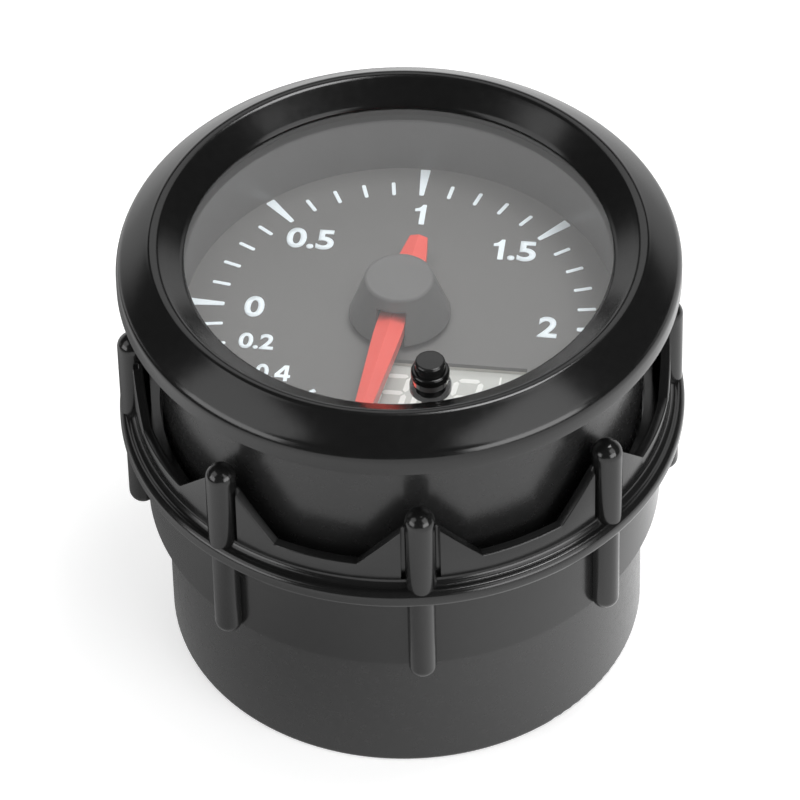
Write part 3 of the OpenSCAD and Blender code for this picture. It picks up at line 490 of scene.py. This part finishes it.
def ring_outline(a):
    off = from_rib(a)
    across_valley = wall_out * math.sin(rib_turn / 2 - abs(off))
    share = (across_valley - valley_half) / (peak_half - valley_half)
    rim = valley_z + max(0, min(1, share)) * (peak_z - valley_z)
    wall = wall_out - groove_depth if groove_from < abs(off) < groove_to else wall_out
    points = [(sleeve_bore, ring_low), (sleeve_out - sleeve_edge, ring_low),
              (sleeve_out, ring_low + sleeve_edge), (sleeve_out, flange_low)]
    points += arc(flange_mid, flange_low + flange_round, flange_round, -90, 0, 6)
    points += arc(flange_mid, crown_low - flange_round, flange_round, 0, 90, 8)
    points += arc(flange_mid, crown_low + flange_round, flange_round, -90, -180, 8)
    points += [(wall, crown_low + flange_round + 0.05)]
    points += arc(wall - wall_edge, rim - wall_edge, wall_edge, 0, 90, 3)
    points += arc(wall_in + wall_edge, rim - wall_edge, wall_edge, 90, 180, 3)
    return points + [(wall_in, crown_low), (sleeve_bore, crown_low)]


# Even turns, with one at each corner of the wall's rim and a close pair at each side of a groove
turns = even_turn(360)
for i in range(rib_count):
    rib_at = rib_a + i * rib_turn
    for way in (-1, 1):
        for edge in (groove_from, groove_to):
            turns += [rib_at + way * edge - corner_turn, rib_at + way * edge + corner_turn]
        for limit in (valley_half, peak_half):
            turns.append(rib_at + way * (rib_turn / 2 - math.asin(limit / wall_out)))
turns = sorted(set(round(t % (2 * math.pi), 6) for t in turns))
bm = bmesh.new()
swept(bm, turns, ring_outline)
# Each rib: a round-headed post on the flange and a slimmer one below it, which meet inside the flange
rib_joint = crown_low - 1.1
tiny = 0.01
upper_post = [(tiny, rib_joint), (rib_r, rib_joint)] + arc(0, rib_top - rib_r, rib_r, 0, 89, 14)
lower_post = arc(0, rib_low + low_rib_r, low_rib_r, -89, 0, 14) + [(low_rib_r, rib_joint), (tiny, rib_joint)]
for i in range(rib_count):
    a = rib_a + i * rib_turn
    for reach, profile in ((rib_reach, upper_post), (low_rib_reach, lower_post)):
        swept(bm, even_turn(56), profile, (reach * math.cos(a), reach * math.sin(a)), closed=False)
ring = add_piece("ring_moulding", smooth(mesh_from("ring_moulding", bm)), "clamp_ring",
                 "ring")
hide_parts("clamp_ring")


# Numbers on the dial, in Blender's own plain typeface, drawn bold: text, angle, reach, width, height
labels = (("0", 180.3, 15.75, 2.15, 3.15), ("0.5", 135.4, 15.65, 5.2, 3.1), ("1", 89.3, 16.0, 1.2, 3.1),
          ("1.5", 45.9, 15.9, 4.7, 3.1), ("2", 0, 15.9, 2.1, 3.15), ("0.2", 199.8, 15.75, 3.8, 2.35),
          ("0.4", 218.4, 15.85, 3.8, 2.35), ("0.6", 235, 15.9, 3.8, 2.35), ("0.8", 250.5, 15.9, 3.8, 2.35))
boldness = 0.028
print_t = 0.05


# Figures of their own: the distance across in mm, and the share of the height
one_w = 1.2
one_space = 0.45
one_shape = ((0.6, 0), (1.2, 0), (1.2, 1), (0.8, 1), (0.6, 0.885), (0.34, 0.815), (0, 0.79), (0, 0.655),
             (0.6, 0.675))
four_w = 1.68
four_space = 0.1
four_left = ((0, 0.22), (1, 0.22), (1, 0.4), (0.47, 0.4), (1, 0.76), (1, 1), (0.92, 1), (0, 0.42))
four_right = ((1, 0), (1.42, 0), (1.42, 0.22), (1.68, 0.22), (1.68, 0.4), (1.42, 0.4), (1.42, 1), (1, 1),
              (1, 0.76), (1, 0.4), (1, 0.22))


def figure(bm, shape, left, foot, tall, level):
    bm.faces.new([bm.verts.new(((left + x) * MM, (foot + y * tall) * MM, level * MM)) for x, y in shape])


def number(bm, text, place_a, reach, width, height, low):
    cx = reach * math.cos(math.radians(place_a))
    cy = reach * math.sin(math.radians(place_a))
    level = low + print_t
    if text[0] == "1":
        figure(bm, one_shape, cx - width / 2, cy - height / 2, height, level)
        text = text[1:]
        width -= one_w + one_space
        cx += (one_w + one_space) / 2
    elif text[-1] == "4":
        for shape in (four_left, four_right):
            figure(bm, shape, cx + width / 2 - four_w, cy - height / 2, height, level)
        text = text[:-1]
        width -= four_w + four_space
        cx -= (four_w + four_space) / 2
    if not text:
        return
    curve = bpy.data.curves.new("number", "FONT")
    curve.body = text
    curve.offset = boldness
    curve.resolution_u = 6
    drawn = bpy.data.objects.new("number", curve)
    bpy.context.scene.collection.objects.link(drawn)
    bpy.context.view_layer.update()
    flat = bpy.data.meshes.new_from_object(drawn.evaluated_get(bpy.context.evaluated_depsgraph_get()))
    xs = [v.co.x for v in flat.vertices]
    ys = [v.co.y for v in flat.vertices]
    for v in flat.vertices:
        v.co.x = (cx + ((v.co.x - min(xs)) / (max(xs) - min(xs)) - 0.5) * width) * MM
        v.co.y = (cy + ((v.co.y - min(ys)) / (max(ys) - min(ys)) - 0.5) * height) * MM
        v.co.z = level * MM
    bm.from_mesh(flat)
    bpy.data.meshes.remove(flat)
    bpy.data.objects.remove(drawn)
    bpy.data.curves.remove(curve)


dial_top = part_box("dial_plate")[1].z / MM
bm = bmesh.new()
for label in labels:
    number(bm, *label, dial_top)
bmesh.ops.remove_doubles(bm, verts=bm.verts[:], dist=0.002 * MM)
lower = bmesh.ops.extrude_face_region(bm, geom=bm.faces[:])
for v in lower["geom"]:
    if isinstance(v, bmesh.types.BMVert):
        v.co.z = dial_top * MM
numbers = add_piece("dial_numbers", mesh_from("dial_numbers", bm), "gauge", "marks")


# Scale marks with rounded corners, in the place of the solid ones
def rounded(corners, r, steps=5):
    points = []
    n = len(corners)
    for i in range(n):
        p = Vector(corners[i])
        a = (Vector(corners[i - 1]) - p).normalized()
        b = (Vector(corners[(i + 1) % n]) - p).normalized()
        half = a.angle(b) / 2
        centre = p + (a + b).normalized() * r / math.sin(half)
        start = (p + a * r / math.tan(half)) - centre
        stop = (p + b * r / math.tan(half)) - centre
        for k in range(steps + 1):
            way = start.lerp(stop, k / steps).normalized() * r
            points.append(centre + way)
    return points


marks_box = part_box("scale_marks")
mark_out = max(abs(marks_box[0].x), abs(marks_box[1].x)) / MM
major_l = 4.1
major_outer = 0.55
major_inner = 0.25
major_round = 0.14
minor_l = 2.0
minor_half = 0.21
minor_round = 0.17
mark_step_a = 9
mark_in = mark_out - major_l
bm = bmesh.new()
for i in range(-10, 21):
    major = i % 5 == 0
    turn = math.radians(180 - mark_step_a * i)
    far = mark_in + (major_l if major else minor_l)
    outer = major_outer if major else minor_half
    inner = major_inner if major else minor_half
    shape = rounded([(mark_in, -inner), (far, -outer), (far, outer), (mark_in, inner)],
                    major_round if major else minor_round)
    plate(bm, [(p.x * math.cos(turn) - p.y * math.sin(turn), p.x * math.sin(turn) + p.y * math.cos(turn))
               for p in shape], dial_top, dial_top + print_t)
marks = add_piece("dial_marks", mesh_from("dial_marks", bm), "gauge", "marks")
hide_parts("scale_marks")

# Pale unlit segments of the display, on its front glass
glass_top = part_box("lcd_front_glass")[1].z / MM
bm = bmesh.new()
seg_w = 0.6
seg_gap = 0.16
digit_half = 1.3
mid_y = -10.6
half_h = 2.5
segment_t = 0.03
lean = math.tan(math.radians(7))
bar_x = (11.55, 11.75)
bar_y = (-14, -7.2)


def segment(x0, y0, x1, y1, cx):
    a = Vector((x0, y0))
    b = Vector((x1, y1))
    d = (b - a).normalized()
    s = Vector((-d.y, d.x)) * seg_w / 2
    a += d * seg_gap
    b -= d * seg_gap
    pts = [a, a + d * seg_w / 2 - s, b - d * seg_w / 2 - s, b, b - d * seg_w / 2 + s, a + d * seg_w / 2 + s]
    plate(bm, [(cx + p.x + p.y * lean, mid_y + p.y) for p in pts], glass_top, glass_top + segment_t)


for cx in (0.45, 4.3, 8.1):
    for row in (-half_h, 0, half_h):
        segment(-digit_half, row, digit_half, row, cx)
    for column in (-digit_half, digit_half):
        segment(column, -half_h, column, 0, cx)
        segment(column, 0, column, half_h, cx)
plate(bm, [(bar_x[0], bar_y[0]), (bar_x[1], bar_y[0]), (bar_x[1], bar_y[1]), (bar_x[0], bar_y[1])],
      glass_top, glass_top + segment_t)
segments = add_piece("lcd_segments", mesh_from("lcd_segments", bm), "gauge", "segment")

# A lamp for the dial alone, because the wall round it keeps much of the other light away
dial_fill = soft_box("dial_fill", -82, 76, 0.8, 0.8, 0.8, 5.0)
dial_group = bpy.data.collections.new("dial_group")
for name in ("dial_plate", "dial_surround", "needle", "needle_hub", "lcd_front_glass", "lcd_frame"):
    dial_group.objects.link(nodes[name])
for piece in (marks, numbers, segments):
    dial_group.objects.link(piece)
dial_fill.light_linking.receiver_collection = dial_group

# White floor that keeps the shadow. Shiny surfaces see it only as far as a table reaches.
bm = bmesh.new()
bmesh.ops.create_circle(bm, cap_ends=True, segments=64, radius=3)
floor = bpy.data.objects.new("floor", mesh_from("floor", bm))
bpy.context.scene.collection.objects.link(floor)
floor.location.z = -0.02 * MM
made, tree = material("floor_white")
link = tree.links.new
paint = tree.nodes.new("ShaderNodeBsdfDiffuse")
paint.inputs["Color"].default_value = (0.8, 0.8, 0.8, 1)
lift = tree.nodes.new("ShaderNodeEmission")
lift.inputs["Strength"].default_value = 0.45
matt = tree.nodes.new("ShaderNodeAddShader")
glint = tree.nodes.new("ShaderNodeEmission")
path = tree.nodes.new("ShaderNodeLightPath")
pick = tree.nodes.new("ShaderNodeMixShader")
spot = tree.nodes.new("ShaderNodeTexCoord")
end = tree.nodes.new("ShaderNodeOutputMaterial")


def floor_math(operation, a, b):
    made = tree.nodes.new("ShaderNodeMath")
    made.operation = operation
    for i, value in enumerate((a, b)):
        if isinstance(value, (int, float)):
            made.inputs[i].default_value = value
        else:
            link(value, made.inputs[i])
    return made.outputs[0]


def floor_along(way):
    made = tree.nodes.new("ShaderNodeVectorMath")
    made.operation = "DOT_PRODUCT"
    made.inputs[1].default_value = way
    link(spot.outputs["Object"], made.inputs[0])
    return made.outputs["Value"]


def floor_ramp(value, low, high, at_low, at_high):
    made = tree.nodes.new("ShaderNodeMapRange")
    made.interpolation_type = "SMOOTHSTEP"
    for name, number in (("From Min", low), ("From Max", high), ("To Min", at_low), ("To Max", at_high)):
        made.inputs[name].default_value = number
    link(value, made.inputs["Value"])
    return made.outputs["Result"]


def floor_reach(centre):
    made = tree.nodes.new("ShaderNodeVectorMath")
    made.operation = "DISTANCE"
    made.inputs[1].default_value = centre
    link(spot.outputs["Object"], made.inputs[0])
    return made.outputs["Value"]


lateral = floor_along(across)
frontal = floor_along(away)
# Painted shade in what shiny surfaces see: close to the object the table is darker on the left, where the
# object shades it from the stronger right lamp; further out it is even
near_painted_shade = floor_ramp(lateral, -0.03, 0.035, 0.45, 1.25)
from_near = floor_ramp(floor_reach((0, 0, 0)), 0.035, 0.085, 0.0, 1.0)
tone = floor_math("ADD", floor_math("MULTIPLY", near_painted_shade, floor_math("SUBTRACT", 1, from_near)),
                  floor_math("MULTIPLY", 1.1, from_near))
# Painted shadow in what shiny surfaces see: the object's own shadow falls behind it, to the left
shadow = floor_ramp(floor_reach(away * 0.06 - across * 0.03), 0.035, 0.085, 0.28, 1.0)
# The table ends at its sides in front of the backdrop
table = floor_math("MULTIPLY", floor_ramp(lateral, -0.19, -0.12, 0.02, 1.0),
                   floor_ramp(lateral, 0.2, 0.32, 1.0, 0.02))
table = floor_math("MAXIMUM", table, floor_ramp(frontal, 0.08, 0.2, 0.0, 1.0))
link(floor_math("MULTIPLY", floor_math("MULTIPLY", tone, shadow), table), glint.inputs["Strength"])
link(paint.outputs[0], matt.inputs[0])
link(lift.outputs[0], matt.inputs[1])
link(path.outputs["Is Glossy Ray"], pick.inputs[0])
link(matt.outputs[0], pick.inputs[1])
link(glint.outputs[0], pick.inputs[2])
link(pick.outputs[0], end.inputs["Surface"])
floor.data.materials.append(made)
